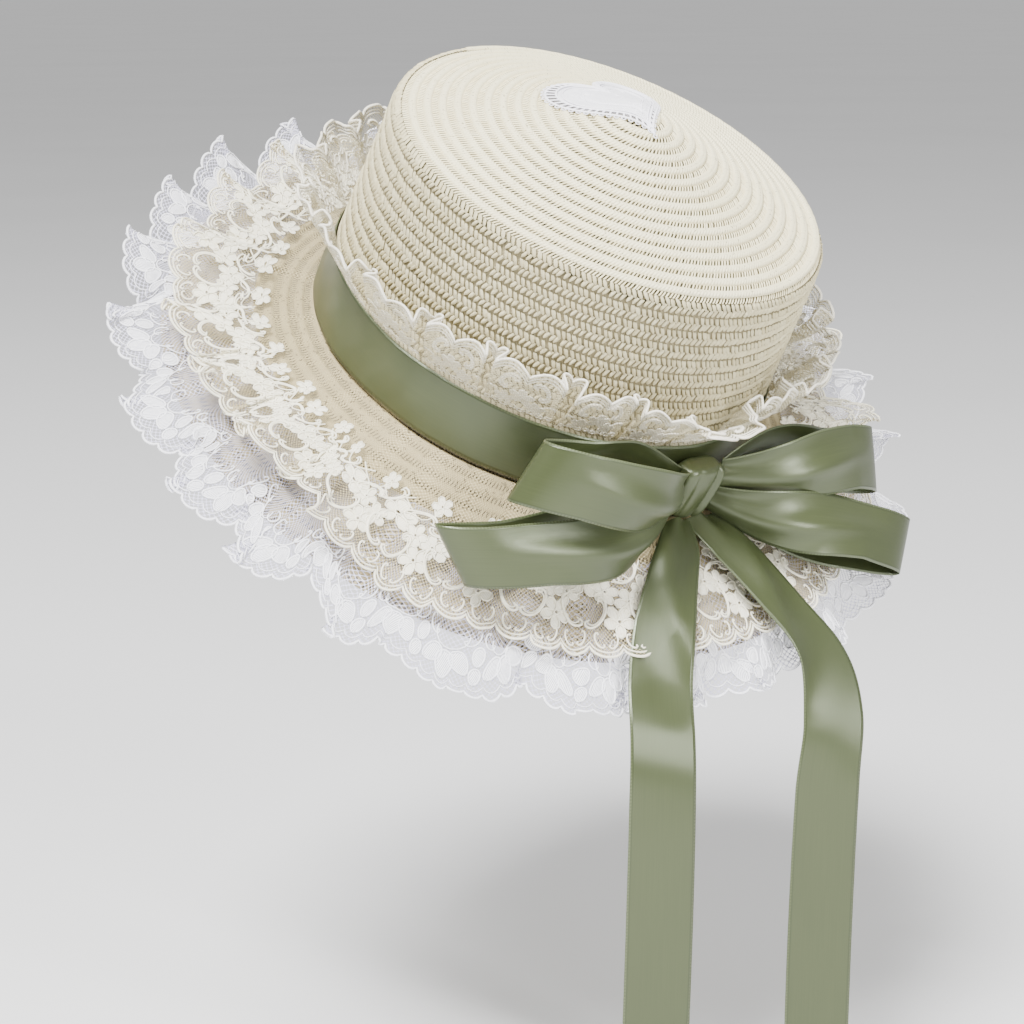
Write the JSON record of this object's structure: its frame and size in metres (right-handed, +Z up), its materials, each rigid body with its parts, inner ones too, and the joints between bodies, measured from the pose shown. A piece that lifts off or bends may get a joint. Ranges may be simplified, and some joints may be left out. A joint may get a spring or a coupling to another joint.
{
  "type": "lace-trimmed straw bonnet",
  "caption": "Straw bonnet with a round flat crown, a sloping brim under gathered lace ruffles, a pleated lace frill, and a satin bow with long hanging tails.",
  "frame": {"origin": "middle of the head opening, where the crown meets the brim", "axes": "+Z up as the bonnet is worn, -Y toward the back of the head where the bow is, +X to the wearer's right; the crown's own axis leans back by 31 degrees in the YZ plane"},
  "size_m": [0.3393, 0.2952, 0.3925],
  "materials": {
    "straw": "matte sewn paper-straw braid",
    "cream_lace": "matte embroidered net",
    "white_lace": "matte floral net lace",
    "green_satin": "smooth satin ribbon with a soft sheen",
    "heart_lace": "close-worked lace"
  },
  "bodies": {
    "root": {"crown": "straw", "brim": "straw", "white_ruffle": "white_lace", "cream_ruffle": "cream_lace", "ribbon_band": "green_satin", "crown_frill": "cream_lace", "bow_knot": "green_satin", "bow_loop_upper_left": "green_satin", "bow_loop_lower_left": "green_satin", "bow_loop_upper_right": "green_satin", "bow_loop_lower_right": "green_satin", "tail_left": "green_satin", "tail_right": "green_satin", "heart_applique": "heart_lace"}
  },
  "joints": []
}
